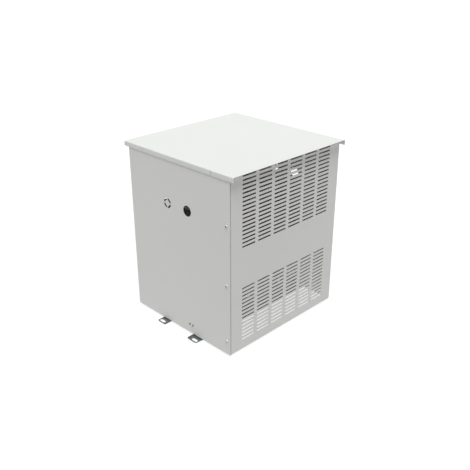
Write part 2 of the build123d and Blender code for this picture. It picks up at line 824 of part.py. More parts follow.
# Screws of the terminal rail and of the supports' feet
with BuildPart() as rail_screws:
    foot_points = [
        (x, y)
        for x in (-foot_screw_across, foot_screw_across)
        for y in (front_support_along, back_support_along)
    ]
    middle_points = [(0, front_support_along), (0, back_support_along)]
    for level, points in (
        (top_clamp_level + support_thickness, foot_points),
        (rail_hat_low + rail_hat_sheet, middle_points),
    ):
        with BuildSketch(Plane.XY.offset(level)):
            with Locations(*points):
                Circle(rail_screw_head_radius)
        extrude(amount=rail_screw_head_height)
        with BuildSketch(Plane.XY.offset(level)):
            with Locations(*points):
                Circle(rail_screw_radius)
        extrude(amount=-rail_screw_length)
        with BuildSketch(Plane.XY.offset(level + rail_screw_head_height)):
            with Locations(*points):
                screw_cross()
        extrude(amount=-cross_depth, mode=Mode.SUBTRACT)
rail_screws.part.label = "rail_screws"
export_step(rail_screws.part, "parts/rail_screws.step")


def clip_section(height, shoulder, top_half):
    """Outline of a block that hooks under both edges of the terminal rail."""
    foot = rail_hat_top - terminal_foot
    grip_low = rail_hat_top - rail_hat_sheet - grip_gap
    grip_half = rail_hat_width / 2 + grip_gap
    mouth_half = rail_hat_width / 2 - terminal_hook
    Polygon(
        (grip_half, rail_hat_top + grip_gap),
        (grip_half, grip_low),
        (mouth_half, grip_low),
        (mouth_half, foot),
        (terminal_half_length, foot),
        (terminal_half_length, foot + shoulder),
        (top_half, foot + height),
        (-top_half, foot + height),
        (-terminal_half_length, foot + shoulder),
        (-terminal_half_length, foot),
        (-mouth_half, foot),
        (-mouth_half, grip_low),
        (-grip_half, grip_low),
        (-grip_half, rail_hat_top + grip_gap),
        align=None,
    )


def terminal_blocks(starts, width, wire_radius):
    """Feed-through blocks, each with a wire port at both ends and a driver hole over each port."""
    middles = [start + width / 2 for start in starts]
    with BuildPart() as blocks:
        for start in starts:
            with BuildSketch(Plane.XZ.offset(-start)):
                clip_section(terminal_height, terminal_shoulder, terminal_top_half)
            extrude(amount=-width)
        with BuildSketch(Plane.YZ.offset(terminal_half_length)):
            with Locations(*[(middle, port_level) for middle in middles]):
                Circle(wire_radius + port_gap)
        extrude(amount=-port_depth, mode=Mode.SUBTRACT)
        with BuildSketch(Plane.YZ.offset(-terminal_half_length)):
            with Locations(*[(middle, port_level) for middle in middles]):
                Circle(wire_radius + port_gap)
        extrude(amount=port_depth, mode=Mode.SUBTRACT)
        with BuildSketch(Plane.XY.offset(port_level + driver_hole_floor)):
            with Locations(*[(x, y) for x in (-driver_hole_across, driver_hole_across) for y in middles]):
                Circle(driver_hole_radius)
        extrude(amount=terminal_height, mode=Mode.SUBTRACT)
    return blocks


# Places of the blocks along the rail, from the front end stop backwards
earth_start = first_block_along + end_stop_width + terminal_gap
primary_step = primary_terminal_width + terminal_gap
secondary_step = secondary_terminal_width + terminal_gap
primary_starts = [earth_start + primary_step * (1 + phase) for phase in range(3)]
secondary_starts = [earth_start + 4 * primary_step + group_space + secondary_step * phase for phase in range(3)]
neutral_start = secondary_starts[-1] + secondary_step
back_stop_start = neutral_start + secondary_step

# Earth terminal
earth_terminal = terminal_blocks([earth_start], primary_terminal_width, primary_lead_radius)
earth_terminal.part.label = "earth_terminal"
export_step(earth_terminal.part, "parts/earth_terminal.step")

# Three primary terminals
primary_terminals = terminal_blocks(primary_starts, primary_terminal_width, primary_lead_radius)
primary_terminals.part.label = "primary_terminals"
export_step(primary_terminals.part, "parts/primary_terminals.step")

# Three secondary terminals
secondary_terminals = terminal_blocks(secondary_starts, secondary_terminal_width, secondary_lead_radius)
secondary_terminals.part.label = "secondary_terminals"
export_step(secondary_terminals.part, "parts/secondary_terminals.step")

# Neutral terminal
neutral_terminal = terminal_blocks([neutral_start], secondary_terminal_width, secondary_lead_radius)
neutral_terminal.part.label = "neutral_terminal"
export_step(neutral_terminal.part, "parts/neutral_terminal.step")

# End stops that keep the blocks together
with BuildPart() as rail_end_stops:
    for start in (first_block_along, back_stop_start):
        with BuildSketch(Plane.XZ.offset(-start)):
            clip_section(end_stop_height, end_stop_height / 2, terminal_top_half)
        extrude(amount=-end_stop_width)
rail_end_stops.part.label = "rail_end_stops"
export_step(rail_end_stops.part, "parts/rail_end_stops.step")


def star_link_section():
    """A bar with three legs, one leg down to the finish of each phase."""
    legs = [y + finish_tail_shift for y in limb_places]
    for leg in legs:
        with Locations((leg, winding_top)):
            Rectangle(link_leg_width, link_bar_rise, align=(Align.CENTER, Align.MIN))
    with Locations((finish_tail_shift, winding_top + link_bar_rise)):
        Rectangle(2 * limb_pitch + link_leg_width, link_bar_height, align=(Align.CENTER, Align.MIN))


# Primary star link, on the left
with BuildPart() as primary_star_link:
    with BuildSketch(Plane.YZ.offset(-(half_stack + primary_out - link_inset))):
        star_link_section()
    extrude(amount=link_thickness)
primary_star_link.part.label = "primary_star_link"
export_step(primary_star_link.part, "parts/primary_star_link.step")

# Secondary star link, on the right
with BuildPart() as secondary_star_link:
    with BuildSketch(Plane.YZ.offset(half_stack + secondary_out - link_inset)):
        star_link_section()
    extrude(amount=-link_thickness)
secondary_star_link.part.label = "secondary_star_link"
export_step(secondary_star_link.part, "parts/secondary_star_link.step")


def round_leads(routes, wire_radius):
    """Round leads, each along straight runs joined by tangent arcs."""
    with BuildPart() as leads:
        for points, radii in routes:
            with BuildLine() as route:
                FilletPolyline(*points, radius=radii)
            with BuildSketch(Plane(route.line @ 0, z_dir=route.line % 0)):
                Circle(wire_radius)
            sweep(path=route.line)
    return leads


lead_end = terminal_half_length - lead_in
knee_across = terminal_half_length + lead_knee

# Primary leads, up the left of the core, along it and into the terminals
primary_routes = []
primary_riser = -(half_stack + primary_out - primary_riser_inset)
for limb_y, rise, start in zip(limb_places, primary_levels, primary_starts):
    tail = limb_y + start_tail_shift
    port = start + primary_terminal_width / 2
    run = port_level + rise
    points = [(primary_riser, tail, winding_top), (primary_riser, tail, run), (primary_riser, port, run)]
    radii = [wide_bend, close_bend]
    if rise != 0:
        points.append((-knee_across, port, port_level))
        radii.append(wide_bend)
    points.append((-lead_end, port, port_level))
    primary_routes.append((points, radii))
primary_leads = round_leads(primary_routes, primary_lead_radius)
primary_leads.part.label = "primary_leads"
export_step(primary_leads.part, "parts/primary_leads.step")

# Secondary leads, out past the upper clamp on the right, then along and into the terminals
secondary_routes = []
secondary_tail = half_stack + secondary_in + secondary_tail_depth
secondary_riser = half_stack + top_clamp_width + secondary_riser_gap
for limb_y, rise, start in zip(limb_places, secondary_levels, secondary_starts):
    tail = limb_y + start_tail_shift
    port = start + secondary_terminal_width / 2
    run = port_level + rise
    points = [
        (secondary_tail, tail, winding_top),
        (secondary_tail, tail, winding_top + jog_low),
        (secondary_riser, tail, winding_top + jog_high),
        (secondary_riser, tail, run),
        (secondary_riser, port, run),
        (knee_across, port, port_level),
        (lead_end, port, port_level),
    ]
    secondary_routes.append((points, [wide_bend, wide_bend, close_bend, close_bend, wide_bend]))
secondary_leads = round_leads(secondary_routes, secondary_lead_radius)
secondary_leads.part.label = "secondary_leads"
export_step(secondary_leads.part, "parts/secondary_leads.step")

# Neutral lead, from the secondary star link over the secondary leads
link_face = half_stack + secondary_out - link_inset
link_level = winding_top + link_bar_rise + link_bar_height / 2
neutral_riser = half_stack + top_clamp_width + neutral_riser_gap
neutral_port = neutral_start + secondary_terminal_width / 2
neutral_run = port_level + neutral_level
neutral_points = [
    (link_face, neutral_start_along, link_level),
    (neutral_riser, neutral_start_along, link_level),
    (neutral_riser, neutral_start_along, neutral_run),
    (neutral_riser, neutral_port, neutral_run),
    (knee_across, neutral_port, port_level),
    (lead_end, neutral_port, port_level),
]
neutral_radii = [close_bend, wide_bend, close_bend, wide_bend]
neutral_lead = round_leads([(neutral_points, neutral_radii)], secondary_lead_radius)
neutral_lead.part.label = "neutral_lead"
export_step(neutral_lead.part, "parts/neutral_lead.step")

# Earth lead, from the earth bar to the right rail's web
bar_back = -half_depth + sheet + earth_bar_thickness
earth_points = [
    (earth_lead_across, bar_back, earth_level),
    (earth_lead_across, bar_back + earth_lead_reach, earth_level),
    (half_stack, bar_back + earth_lead_reach, earth_level),
]
earth_lead = round_leads([(earth_points, [earth_lead_bend])], earth_lead_radius)
earth_lead.part.label = "earth_lead"
export_step(earth_lead.part, "parts/earth_lead.step")
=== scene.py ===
import bpy
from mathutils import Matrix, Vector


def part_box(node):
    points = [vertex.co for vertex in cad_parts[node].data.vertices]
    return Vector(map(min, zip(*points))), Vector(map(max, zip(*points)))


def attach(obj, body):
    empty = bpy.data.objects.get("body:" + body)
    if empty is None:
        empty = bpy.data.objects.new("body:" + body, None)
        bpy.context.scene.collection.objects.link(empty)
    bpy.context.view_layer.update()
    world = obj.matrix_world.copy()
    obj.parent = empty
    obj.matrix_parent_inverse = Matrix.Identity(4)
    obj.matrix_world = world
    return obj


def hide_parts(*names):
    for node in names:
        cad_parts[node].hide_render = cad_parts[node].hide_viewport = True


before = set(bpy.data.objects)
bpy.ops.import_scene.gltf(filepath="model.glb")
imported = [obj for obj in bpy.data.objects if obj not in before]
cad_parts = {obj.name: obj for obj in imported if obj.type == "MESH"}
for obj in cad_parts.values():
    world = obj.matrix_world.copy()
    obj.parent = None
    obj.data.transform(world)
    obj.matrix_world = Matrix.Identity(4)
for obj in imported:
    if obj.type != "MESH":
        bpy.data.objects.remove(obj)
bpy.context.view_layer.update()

import bpy
from math import pi, radians
from mathutils import Vector

# Camera: at the photograph's angle, above the corner where the plain front meets the slotted side.
# A normal lens for a square picture, with nothing out of focus.
AZIMUTH = radians(45.03)
ELEVATION = radians(25.045)
CAMERA_PLACE = Vector((1.4168, -1.4143, 1.2002))
LENS = 49.43
SENSOR_WIDTH = 36
camera_data = bpy.data.cameras.new("camera")
camera_data.lens = LENS
camera_data.sensor_width = SENSOR_WIDTH
camera = bpy.data.objects.new("camera", camera_data)
camera.location = CAMERA_PLACE
camera.rotation_euler = (pi / 2 - ELEVATION, 0, AZIMUTH)
bpy.context.scene.collection.objects.link(camera)
bpy.context.scene.camera = camera

# Studio: a wide pale floor, even light from the air all round and one broad soft lamp overhead.
# What the camera and mirrors see past the floor is plain white.
WHITE = (1, 1, 1)
FLOOR_HALF = 30
FLOOR_GREY = (0.25, 0.25, 0.25)
FLOOR_GLOW = 0.35
FLOOR_GLOW_SEEN = 0.84
AIR_LIGHT = 0.2
LAMP_LIGHT = 0.82
LAMP_SPREAD = radians(32)
LAMP_TILT = (radians(13), radians(12), 0)


class Reading:
    """A number read from a node. Sums on it add the Math nodes that they need."""

    def __init__(self, recipe, socket):
        self.recipe = recipe
        self.socket = socket

    def sum(self, operation, other=0.0, turned=False):
        pair = (other, self) if turned else (self, other)
        return self.recipe.node("ShaderNodeMath", {"operation": operation}, dict(enumerate(pair)))

    def __add__(self, other):
        return self.sum("ADD", other)

    def __sub__(self, other):
        return self.sum("SUBTRACT", other)

    def __rsub__(self, other):
        return self.sum("SUBTRACT", other, turned=True)

    def __mul__(self, other):
        return self.sum("MULTIPLY", other)

    def __gt__(self, other):
        return self.sum("GREATER_THAN", other)

    def __lt__(self, other):
        return self.sum("LESS_THAN", other)

    def __abs__(self):
        return self.sum("ABSOLUTE")

    def zigzag(self, top):
        """Runs up to the top and down to 0 again, over and over."""
        return self.sum("PINGPONG", top)

    def spread(self, low, high):
        """Turns 0 to 1 into low to high."""
        return self * (high - low) + low

    __radd__ = __add__
    __rmul__ = __mul__


class Recipe:
    """The node tree of one finish, or of the studio's air. Every node comes from its node method."""

    def __init__(self, holder):
        holder.use_nodes = True
        self.holder = holder
        self.tree = holder.node_tree

    def node(self, kind, settings=None, inputs=None, output=0):
        made = self.tree.nodes.new(kind)
        for name, value in (settings or {}).items():
            setattr(made, name, value)
        for name, value in (inputs or {}).items():
            self.feed(made.inputs[name], value)
        return Reading(self, made.outputs[output])

    def feed(self, socket, value):
        if isinstance(value, Reading):
            self.tree.links.new(value.socket, socket)
        elif socket.type == "RGBA":
            socket.default_value = (*value, 1)
        else:
            socket.default_value = value

    def blend(self, share, first, second):
        """A colour between two, by the second one's share from 0 to 1."""
        return self.node("ShaderNodeMix", {"data_type": "RGBA"}, {0: share, 6: first, 7: second}, 2)

    def place(self):
        return self.node("ShaderNodeTexCoord", output="Object")

    def noise(self, grains, detail=2, stretch=(1, 1, 1)):
        """Soft noise from 0 to 1, with so many grains to the metre."""
        where = self.node("ShaderNodeMapping", inputs={"Vector": self.place(), "Scale": stretch})
        inputs = {"Vector": where, "Scale": grains, "Detail": detail}
        return self.node("ShaderNodeTexNoise", inputs=inputs)

    def across(self, axis):
        """Place along X, Y or Z in metres, as a number."""
        return self.node("ShaderNodeSeparateXYZ", inputs={0: self.place()}, output=axis)

    def ridges(self, axis, pitch):
        """Ridges from 0 up to 1 and down again, one to each pitch along an axis."""
        return (self.across(axis) * (1 / pitch)).zigzag(0.5) * 2

    def bump(self, height, rise):
        """A normal from a height of 0 to 1 that stands so many metres high."""
        return self.node("ShaderNodeBump", inputs={"Strength": 1, "Distance": rise, "Height": height})

    def surface(self, **values):
        """Sets the shader's sockets, with the names in lower case and joined by underscores."""
        shader = self.tree.nodes["Principled BSDF"]
        sockets = {socket.name.lower().replace(" ", "_"): socket for socket in shader.inputs}
        for name, value in values.items():
            self.feed(sockets[name], value)


def seen_directly(recipe):
    """1 for rays from the camera or off a gloss surface or through glass, otherwise 0."""
    seen = 0
    for ray in ("Is Camera Ray", "Is Glossy Ray", "Is Transmission Ray"):
        seen = recipe.node("ShaderNodeLightPath", output=ray) + seen
    return seen > 0.5


def deselect_all():
    if bpy.context.object and bpy.context.object.mode != "OBJECT":
        bpy.ops.object.mode_set(mode="OBJECT")
    bpy.ops.object.select_all(action="DESELECT")


bpy.context.scene.view_settings.view_transform = "Standard"
air = Recipe(bpy.context.scene.world or bpy.data.worlds.new("air"))
bpy.context.scene.world = air.holder
air_shade = air.tree.nodes["Background"]
air.feed(air_shade.inputs["Color"], WHITE)
air.feed(air_shade.inputs["Strength"], seen_directly(air).spread(AIR_LIGHT, 1))

lamp_data = bpy.data.lights.new("overhead_lamp", "SUN")
lamp_data.energy = pi * LAMP_LIGHT
lamp_data.angle = LAMP_SPREAD
lamp = bpy.data.objects.new("overhead_lamp", lamp_data)
lamp.rotation_euler = LAMP_TILT
bpy.context.scene.collection.objects.link(lamp)

deselect_all()
bpy.ops.mesh.primitive_plane_add(size=2 * FLOOR_HALF)
floor = bpy.context.object
floor.name = "studio_floor"
floor_finish = Recipe(bpy.data.materials.new("studio_floor"))
floor_finish.surface(
    base_color=FLOOR_GREY,
    roughness=1.0,
    specular_ior_level=0.0,
    emission_color=WHITE,
    emission_strength=seen_directly(floor_finish).spread(FLOOR_GLOW, FLOOR_GLOW_SEEN),
)
floor.data.materials.append(floor_finish.holder)

# Core: two yokes on three limbs, stacked from 0.5 mm sheets of electrical steel side by side along X.
# The sheets' edges show as fine lines, under a blue-grey varnish that holds the stack.


def new_finish(name):
    return Recipe(bpy.data.materials.new(name))


def coat(recipe, *nodes):
    """Gives a finish to solids of the frame."""
    for node in nodes:
        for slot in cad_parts[node].material_slots:
            slot.material = recipe.holder


def srgb(red, green, blue):
    """A colour given as 0 to 255 on screen, in the linear values that shaders take."""
    steps = [value / 255 for value in (red, green, blue)]
    return tuple(s / 12.92 if s <= 0.04045 else ((s + 0.055) / 1.055) ** 2.4 for s in steps)


LAMINATION = 0.0005
STEEL_DARK = srgb(148, 151, 154)
STEEL_PALE = srgb(186, 188, 190)
core_steel = new_finish("varnished_core_steel")
sheet_line = core_steel.ridges("X", LAMINATION)
sheet_tone = core_steel.noise(grains=90, detail=1, stretch=(10, 0.02, 0.02))
core_steel.surface(
    base_color=core_steel.blend(sheet_line * 0.4 + sheet_tone * 0.6, STEEL_DARK, STEEL_PALE),
    metallic=0.1,
    roughness=core_steel.noise(grains=60, detail=3).spread(0.35, 0.6),
    normal=core_steel.bump(sheet_line, rise=0.00006),
)
coat(core_steel, "core_bottom_yoke", "core_top_yoke", "core_limb_1", "core_limb_2", "core_limb_3")

# Insulating tubes in the yokes' bolt holes, wound from resin-bonded paper.
# The paper's turns show as faint lines along the tube.
TUBE_DARK = srgb(186, 160, 112)
TUBE_PALE = srgb(210, 186, 140)
tube_paper = new_finish("clamp_tube_paper")
tube_grain = tube_paper.noise(grains=400, stretch=(0.1, 1, 1))
tube_paper.surface(
    base_color=tube_paper.blend(tube_grain, TUBE_DARK, TUBE_PALE),
    roughness=tube_grain.spread(0.5, 0.65),
    normal=tube_paper.bump(tube_grain, rise=0.00003),
)
coat(tube_paper, "clamp_bolt_tubes")

# Foot rails and upper clamps: 3 mm steel folded to angles, which grip the yokes between them.
# Dark grey-green paint, with a near-white painted highlight on the cut edges of the feet.
EASED_EDGE = 0.0003
FOLD_ANGLE = radians(40)
FLAT_ANGLE = radians(0.5)
SAME_POINT = 0.000001
RAIL_DARK = srgb(80, 88, 85)
RAIL_PALE = srgb(99, 107, 103)
RAIL_EDGE_HIGHLIGHT = srgb(228, 232, 229)
RAIL_SHEET = 0.003
SKIN = 0.0001


def apply_modifier(piece, kind, **settings):
    modifier = piece.modifiers.new(kind.lower(), kind)
    for name, value in settings.items():
        setattr(modifier, name, value)
    bpy.context.view_layer.objects.active = piece
    bpy.ops.object.modifier_apply(modifier=modifier.name)


def round_edges(piece, width):
    apply_modifier(piece, "BEVEL", width=width, segments=2, limit_method="ANGLE", angle_limit=FOLD_ANGLE)


def ease_edges(piece, width):
    """Rounds the sharp edges a little and keeps the flat faces flat to look at."""
    round_edges(piece, width)
    deselect_all()
    piece.select_set(True)
    bpy.context.view_layer.objects.active = piece
    bpy.ops.object.shade_smooth_by_angle(angle=FOLD_ANGLE)
    apply_modifier(piece, "WEIGHTED_NORMAL", keep_sharp=True)


def fasten(piece, name, recipe):
    """Names a finished piece, gives it its finish and lets it ride with the transformer."""
    piece.name = name
    piece.data.name = name
    piece.data.materials.clear()
    piece.data.materials.append(recipe.holder)
    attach(piece, "root")


def eased(node, recipe, width=EASED_EDGE):
    """Puts a copy of a solid, with its edges rounded, in its place."""
    deselect_all()
    piece = bpy.data.objects.new(node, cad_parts[node].data.copy())
    bpy.context.scene.collection.objects.link(piece)
    piece.select_set(True)
    bpy.context.view_layer.objects.active = piece
    bpy.ops.object.mode_set(mode="EDIT")
    bpy.ops.mesh.select_all(action="SELECT")
    bpy.ops.mesh.remove_doubles(threshold=SAME_POINT)
    bpy.ops.mesh.dissolve_limited(angle_limit=FLAT_ANGLE)
    bpy.ops.object.mode_set(mode="OBJECT")
    ease_edges(piece, width)
    fasten(piece, node + "_eased", recipe)
    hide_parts(node)


rail_paint = new_finish("dark_rail_paint")
rail_drift = rail_paint.noise(grains=14, detail=4)
rail_level = rail_paint.across("Z")
# Painted highlight: the feet's cut edges, within the sheet's thickness outside the enclosure, are
# coloured near white.
foot_edge_highlight = (rail_level > SKIN) * (rail_level < RAIL_SHEET - SKIN)
foot_edge_highlight = foot_edge_highlight * (abs(rail_paint.across("Y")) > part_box("front_left_wrap")[1].y)
rail_colour = rail_paint.blend(rail_drift, RAIL_DARK, RAIL_PALE)
rail_paint.surface(
    base_color=rail_paint.blend(foot_edge_highlight, rail_colour, RAIL_EDGE_HIGHLIGHT),
    roughness=rail_drift.spread(0.4, 0.55),
    normal=rail_paint.bump(rail_paint.noise(grains=500), rise=0.00004),
)
for node in ("left_foot_rail", "right_foot_rail", "left_top_clamp", "right_top_clamp"):
    eased(node, rail_paint)

# Clamp bolts and nuts, and the other small hardware inside: steel plated with bright zinc.
# The plating is slightly cloudy. The bolts' tails are threaded past their nuts.
THREAD_PITCH = 0.0015
NUT_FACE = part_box("clamp_nuts")[1].x
ZINC_DULL = srgb(176, 180, 184)
ZINC_BRIGHT = srgb(206, 208, 210)


def plating(name, dull, bright, smoothest):
    """Cloudy plated metal between two shades, which is given its bump later."""
    finish = new_finish(name)
    cloud = finish.noise(grains=120, detail=4)
    finish.surface(
        base_color=finish.blend(cloud, dull, bright),
        metallic=0.85,
        roughness=cloud.spread(smoothest, smoothest + 0.2),
    )
    return finish


zinc = plating("bright_zinc", ZINC_DULL, ZINC_BRIGHT, smoothest=0.28)
zinc.surface(normal=zinc.bump(zinc.noise(grains=1500), rise=0.00001))
coat(zinc, "clamp_nuts", "carrier_bolts", "carrier_nuts", "panel_clinch_nuts", "lid_nuts", "rail_screws")
bolt_zinc = plating("threaded_bolt_zinc", ZINC_DULL, ZINC_BRIGHT, smoothest=0.28)
bolt_tail = bolt_zinc.across("X") > NUT_FACE
bolt_thread = bolt_zinc.ridges("X", THREAD_PITCH) * bolt_tail
bolt_zinc.surface(normal=bolt_zinc.bump(bolt_thread, rise=0.0004))
coat(bolt_zinc, "clamp_bolts")

# Coil formers and packing blocks: dense pressboard that keeps the windings off the core.
# Matt, with short pale fibres pressed flat.
BOARD_DARK = srgb(120, 96, 66)
BOARD_PALE = srgb(146, 120, 86)
pressboard = new_finish("pressboard")
fibre = pressboard.noise(grains=900, detail=3, stretch=(1, 0.2, 1))
pressboard.surface(
    base_color=pressboard.blend(fibre, BOARD_DARK, BOARD_PALE),
    roughness=fibre.spread(0.8, 0.9),
    normal=pressboard.bump(fibre, rise=0.00005),
)
coat(pressboard, "coil_former_1", "coil_former_2", "coil_former_3")
coat(pressboard, "coil_blocks_bottom", "coil_blocks_top")

# Secondary windings: level layers of enamelled wire on each former, soaked in dark varnish.
# Only their ends show, above and below the outer windings.
SECONDARY_WIRE = 0.004
ENAMEL_DARK = srgb(44, 34, 28)
ENAMEL_PALE = srgb(84, 62, 46)
secondary_wire = new_finish("secondary_wire")
secondary_turn = secondary_wire.ridges("Z", SECONDARY_WIRE)
secondary_run = secondary_wire.noise(grains=25, detail=3, stretch=(1, 1, 0.3))
secondary_wire.surface(
    base_color=secondary_wire.blend(secondary_turn * 0.5 + secondary_run * 0.5, ENAMEL_DARK, ENAMEL_PALE),
    roughness=secondary_run.spread(0.3, 0.5),
    normal=secondary_wire.bump(secondary_turn, rise=0.0008),
)
coat(secondary_wire, "secondary_winding_1", "secondary_winding_2", "secondary_winding_3")

# Earthed screens, one open turn of copper foil over each secondary winding.
# Bare copper gone brown, darker in patches where it was handled.
COPPER_BROWN = srgb(92, 60, 46)
COPPER_PALE = srgb(146, 100, 78)
copper = new_finish("bare_copper")
copper_mark = copper.noise(grains=45, detail=4)
copper.surface(
    base_color=copper.blend(copper_mark, COPPER_BROWN, COPPER_PALE),
    metallic=1.0,
    roughness=copper_mark.spread(0.25, 0.55),
    normal=copper.bump(copper.noise(grains=700, stretch=(1, 0.1, 1)), rise=0.00002),
)
coat(copper, "earth_screen_1", "earth_screen_2", "earth_screen_3")

# Primary windings: round enamelled wire over the screens, its outer layer made turn by turn.
# Woven tape binds the first and last turns of each coil.
PRIMARY_WIRE = 0.0032
SCREEN_GAP = 0.0003
CORNER_STEPS = 8
WIRE_ANGLE = radians(65)
TAPE_HEIGHT = 0.014
TAPE_STANDS = 0.0003
TAPE_WALL = 2 * TAPE_STANDS
TAPE_EDGE = TAPE_STANDS / 2
TAPE_THREAD = 1 / 1500
TAPE_DARK = srgb(120, 108, 84)
TAPE_PALE = srgb(160, 148, 120)
varnish = new_finish("primary_wire")
wire_tone = varnish.noise(grains=300, stretch=(0.05, 0.05, 3))
varnish_run = varnish.noise(grains=25, detail=3, stretch=(1, 1, 0.3))
varnish.surface(
    base_color=varnish.blend(wire_tone * 0.5 + varnish_run * 0.5, ENAMEL_DARK, ENAMEL_PALE),
    roughness=varnish_run.spread(0.25, 0.45),
    coat_weight=0.5,
    normal=varnish.bump(varnish_run, rise=0.0002),
)
tape = new_finish("woven_tape")
weave = tape.ridges("Z", TAPE_THREAD) * 0.5 + tape.noise(grains=1400, detail=1) * 0.5
tape.surface(
    base_color=tape.blend(weave, TAPE_DARK, TAPE_PALE),
    roughness=weave.spread(0.65, 0.75),
    normal=tape.bump(weave, rise=0.0001),
)


def rounded_outline(middle, half, radius, level):
    """A flat closed wire in the shape of a coil's section, at a level."""
    deselect_all()
    bpy.ops.mesh.primitive_plane_add(size=2, location=(middle.x, middle.y, level))
    outline = bpy.context.object
    outline.scale = (half.x, half.y, 1)
    bpy.ops.object.transform_apply(location=True, rotation=True, scale=True)
    bpy.ops.object.mode_set(mode="EDIT")
    bpy.ops.mesh.bevel(affect="VERTICES", offset=radius, segments=CORNER_STEPS)
    bpy.ops.mesh.delete(type="ONLY_FACE")
    bpy.ops.object.mode_set(mode="OBJECT")
    return outline


def coil_ring(low, high, wall, radius):
    """A closed ring with a coil's section, between two corners of its box."""
    middle = (low + high) / 2
    half = (high - low) / 2
    inner = rounded_outline(middle, half - Vector((wall, wall, 0)), radius - wall, low.z)
    outer = rounded_outline(middle, half, radius, low.z)
    inner.select_set(True)
    bpy.ops.object.join()
    bpy.ops.object.mode_set(mode="EDIT")
    bpy.ops.mesh.select_all(action="SELECT")
    bpy.ops.mesh.bridge_edge_loops()
    bpy.ops.mesh.select_all(action="SELECT")
    bpy.ops.mesh.extrude_region_move(TRANSFORM_OT_translate={"value": (0, 0, high.z - low.z)})
    bpy.ops.mesh.select_all(action="SELECT")
    bpy.ops.mesh.normals_make_consistent(inside=False)
    bpy.ops.object.mode_set(mode="OBJECT")
    return outer


def wound_turns(low, high, wire, radius):
    """One layer of round wire, one turn above the other, whose outside fills the box."""
    middle = (low + high) / 2
    half = (high - low) / 2 - Vector((wire, wire, 0)) / 2
    layer = rounded_outline(middle, half, radius - wire / 2, low.z + wire / 2)
    bpy.ops.object.convert(target="CURVE")
    layer.data.bevel_depth = wire / 2
    layer.data.bevel_resolution = 1
    bpy.ops.object.convert(target="MESH")
    turns = int((high.z - low.z) / wire)
    step = (high.z - low.z - wire) / (turns - 1)
    apply_modifier(
        layer, "ARRAY", count=turns, use_relative_offset=False,
        use_constant_offset=True, constant_offset_displace=(0, 0, step),
    )
    return layer


for phase in (1, 2, 3):
    low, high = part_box(f"primary_winding_{phase}")
    screen_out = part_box(f"earth_screen_{phase}")[1].x
    corner = high.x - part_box(f"core_limb_{phase}")[1].x
    inset = Vector((PRIMARY_WIRE, PRIMARY_WIRE, PRIMARY_WIRE)) / 2
    wall = high.x - inset.x - screen_out - SCREEN_GAP
    inner_layers = coil_ring(low + inset, high - inset, wall, corner - inset.x)
    turns = wound_turns(low, high, PRIMARY_WIRE, corner)
    deselect_all()
    inner_layers.select_set(True)
    turns.select_set(True)
    bpy.context.view_layer.objects.active = turns
    bpy.ops.object.join()
    bpy.ops.object.shade_smooth_by_angle(angle=WIRE_ANGLE)
    fasten(turns, f"primary_turns_{phase}", varnish)
    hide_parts(f"primary_winding_{phase}")
    stands = Vector((TAPE_STANDS, TAPE_STANDS, 0))
    for end, level in (("bottom", low.z), ("top", high.z - TAPE_HEIGHT)):
        band_low = Vector((low.x, low.y, level)) - stands
        band_high = Vector((high.x, high.y, level + TAPE_HEIGHT)) + stands
        band = coil_ring(band_low, band_high, TAPE_WALL, corner + TAPE_STANDS)
        ease_edges(band, TAPE_EDGE)
        fasten(band, f"coil_tape_{end}_{phase}", tape)

# Star links, which join the finishes of the three phases on each side: stamped copper strip.
# The earth bar inside the front face is cut from the same metal.
for node in ("primary_star_link", "secondary_star_link", "earth_bar"):
    eased(node, copper)

# Rail supports and terminal rail, folded from plated strip, which stand over the core. The carriers,
# welded inside the faces and painted like the foot rails, are bolted to the rails.
for node in ("front_rail_support", "back_rail_support", "terminal_rail"):
    eased(node, zinc)
for node in ("front_right_carrier", "front_left_carrier", "back_right_carrier", "back_left_carrier"):
    eased(node, rail_paint)

# Weld beads, which hold each carrier's face leg to the sheet at its outer end.
# Bare metal in fine ripples, a dull blue-grey beside the dark paint.
BEAD_RADIUS = 0.0013
BEAD_SIDES = 20
BEAD_END = 0.6 * BEAD_RADIUS
BEAD_MARGIN = 0.003
BEAD_RIPPLE = 1 / 900
BEAD_DARK = srgb(96, 98, 104)
BEAD_PALE = srgb(140, 142, 146)
bead_metal = new_finish("weld_bead")
ripple = bead_metal.ridges("Z", BEAD_RIPPLE)
bead_metal.surface(
    base_color=bead_metal.blend(ripple, BEAD_DARK, BEAD_PALE),
    metallic=0.9,
    roughness=ripple.spread(0.4, 0.6),
    normal=bead_metal.bump(ripple, rise=0.0003),
)
for side in ("front_right", "front_left", "back_right", "back_left"):
    low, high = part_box(side + "_carrier")
    bead_x = high.x if "right" in side else low.x
    bead_y = low.y if "front" in side else high.y
    length = high.z - low.z - 2 * BEAD_MARGIN
    deselect_all()
    bpy.ops.mesh.primitive_cylinder_add(
        vertices=BEAD_SIDES, radius=BEAD_RADIUS, depth=length,
        location=(bead_x, bead_y, (low.z + high.z) / 2),
    )
    bead = bpy.context.object
    bpy.ops.object.transform_apply(location=True, rotation=True, scale=True)
    ease_edges(bead, BEAD_END)
    fasten(bead, side + "_weld_bead", bead_metal)

# Terminals and end stops: moulded polyamide, clipped on the rail side by side.
# Grey for the phases, blue for neutral, green and yellow for earth, with a soft moulded sheen.
MOULD_EDGE = 0.0004
MOULD_GREY = srgb(142, 146, 148)
MOULD_GREY_PALE = srgb(158, 161, 163)
MOULD_BLUE = srgb(52, 92, 156)
MOULD_BLUE_PALE = srgb(66, 108, 172)
MOULD_GREEN = srgb(76, 142, 66)
MOULD_YELLOW = srgb(222, 200, 60)
EARTH_STRIPE = 0.012


def moulding(name, first, second, stripe=None):
    """Moulded polyamide, in two near shades or in stripes of two colours along X."""
    finish = new_finish(name)
    sheen = finish.noise(grains=60, detail=3)
    share = finish.ridges("X", stripe) > 0.5 if stripe else sheen
    finish.surface(
        base_color=finish.blend(share, first, second),
        roughness=sheen.spread(0.4, 0.55),
        normal=finish.bump(finish.noise(grains=1200, detail=1), rise=0.00002),
    )
    return finish


